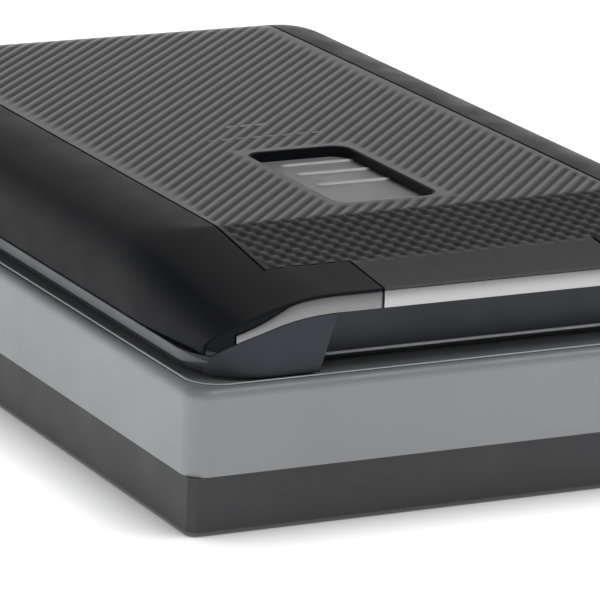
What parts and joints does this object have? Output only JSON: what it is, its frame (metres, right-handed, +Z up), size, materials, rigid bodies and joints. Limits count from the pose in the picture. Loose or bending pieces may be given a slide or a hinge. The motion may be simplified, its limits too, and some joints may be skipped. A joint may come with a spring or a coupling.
{
  "type": "flatbed scanner",
  "caption": "Flatbed photo scanner with a grey and charcoal case, a lifting black lid with a film lamp, and a ridged storage cover with a finger well.",
  "frame": {"origin": "middle of the footprint, on the surface the feet stand on", "axes": "+X to the user's right, +Y from the front to the back, +Z up"},
  "size_m": [0.303, 0.508, 0.1081],
  "materials": {
    "charcoal_plastic": "fine moulded grain",
    "grey_plastic": "satin moulded",
    "black_shell": "satin black, moulded",
    "textured_panel": "grey with fine slanting ridges",
    "blue_black_plastic": "satin",
    "silver_trim": "brushed along its length",
    "pad_grey": "satin",
    "clear_glass": "polished",
    "white_plastic": "smooth",
    "button_plastic": "satin",
    "rubber": "matte",
    "steel": "ground",
    "zinc_plate": "zinc plated sheet",
    "circuit_board": "solder mask",
    "chip_plastic": "moulded",
    "gear_plastic": "natural nylon",
    "bronze": "sintered",
    "mirror_glass": "front silvered",
    "foam": "white foam sheet"
  },
  "bodies": {
    "base": {"base_tray": "charcoal_plastic", "base_cover": "grey_plastic", "platen_glass": "clear_glass", "scale_bezel": "charcoal_plastic", "calibration_strip": "white_plastic", "feet": "rubber", "case_screws": "steel", "guide_rod": "steel", "rod_clamps": "charcoal_plastic", "slide_rail": "charcoal_plastic", "drive_belt": "rubber", "motor_bracket": "zinc_plate", "stepper_motor": "zinc_plate", "belt_axles": "steel", "idler_bracket": "zinc_plate", "belt_spring": "steel", "main_board": "circuit_board", "board_parts": "chip_plastic", "ribbon_cable": "white_plastic", "port_plate": "charcoal_plastic", "usb_socket": "steel", "power_jack": "chip_plastic", "lid_light_socket": "chip_plastic", "button_panel": "charcoal_plastic", "switch_board": "circuit_board", "hinge_sleeves": "grey_plastic"},
    "carriage": {"carriage_body": "charcoal_plastic", "rod_bushes": "bronze", "rail_glide": "gear_plastic", "lamp_tube": "white_plastic", "lamp_reflector": "silver_trim", "scan_mirrors": "mirror_glass", "lens_barrel": "chip_plastic", "sensor_board": "circuit_board", "belt_clip": "chip_plastic"},
    "drive_wheel": {"drive_gear": "gear_plastic", "drive_pulley": "gear_plastic"},
    "pinion": {"motor_pinion": "bronze"},
    "idler_wheel": {"idler_pulley": "gear_plastic"},
    "scan_key": {"scan_button": "button_plastic"},
    "copy_key": {"copy_button": "button_plastic"},
    "send_key": {"send_button": "button_plastic"},
    "file_key": {"file_button": "button_plastic"},
    "power_rocker": {"power_switch": "chip_plastic"},
    "hinge_slide": {"hinge_post_left": "charcoal_plastic", "hinge_post_right": "charcoal_plastic"},
    "lid": {"lid_upper_shell": "black_shell", "lid_lower_frame": "blue_black_plastic", "trim_strip_left": "silver_trim", "trim_strip_right": "silver_trim", "light_panel": "white_plastic", "lid_lamp": "white_plastic", "document_mat": "foam", "lid_bumpers": "rubber", "hinge_brackets": "zinc_plate", "hinge_pins": "steel", "cover_pins": "steel"},
    "storage_lid": {"storage_cover": "textured_panel", "cover_trim_strip": "silver_trim", "finger_pad": "pad_grey"}
  },
  "joints": [
    {"name": "lid_lift", "type": "slide", "parent": "base", "child": "hinge_slide", "axis": [0, 0, 1], "range_m": [0, 0.02]},
    {"name": "lid_hinge", "type": "hinge", "parent": "hinge_slide", "child": "lid", "pos_m": [0, 0.222, 0.077], "axis": [-1, 0, 0], "range_deg": [0, 80]},
    {"name": "storage_cover_hinge", "type": "hinge", "parent": "lid", "child": "storage_lid", "pos_m": [0, 0.196, 0.099], "axis": [-1, 0, 0], "range_deg": [0, 75]},
    {"name": "carriage_travel", "type": "slide", "parent": "base", "child": "carriage", "axis": [0, -1, 0], "range_m": [0, 0.321], "deforming": ["ribbon_cable"]},
    {"name": "drive_wheel_spin", "type": "hinge", "parent": "base", "child": "drive_wheel", "pos_m": [-0.082, 0.19, 0.02], "axis": [0, 0, 1], "range_deg": [-2140, 0]},
    {"name": "pinion_spin", "type": "hinge", "parent": "base", "child": "pinion", "pos_m": [-0.05785, 0.19, 0.02], "axis": [0, 0, 1], "range_deg": [0, 8560]},
    {"name": "idler_spin", "type": "hinge", "parent": "base", "child": "idler_wheel", "pos_m": [-0.082, -0.222, 0.015], "axis": [0, 0, 1], "range_deg": [-2140, 0]},
    {"name": "scan_press", "type": "slide", "parent": "base", "child": "scan_key", "axis": [0, 1, 0], "range_m": [0, 0.001], "stiffness_N_per_m": 300},
    {"name": "copy_press", "type": "slide", "parent": "base", "child": "copy_key", "axis": [0, 1, 0], "range_m": [0, 0.001], "stiffness_N_per_m": 300},
    {"name": "send_press", "type": "slide", "parent": "base", "child": "send_key", "axis": [0, 1, 0], "range_m": [0, 0.001], "stiffness_N_per_m": 300},
    {"name": "file_press", "type": "slide", "parent": "base", "child": "file_key", "axis": [0, 1, 0], "range_m": [0, 0.001], "stiffness_N_per_m": 300},
    {"name": "power_rock", "type": "hinge", "parent": "base", "child": "power_rocker", "pos_m": [0.076, 0.2487, 0.039], "axis": [1, 0, 0], "range_deg": [0, 14]}
  ],
  "couplings": [
    {"joint": "drive_wheel_spin", "follows": "carriage_travel", "rad_per_m": -116.28},
    {"joint": "pinion_spin", "follows": "carriage_travel", "rad_per_m": 465.12},
    {"joint": "idler_spin", "follows": "carriage_travel", "rad_per_m": -116.28}
  ]
}
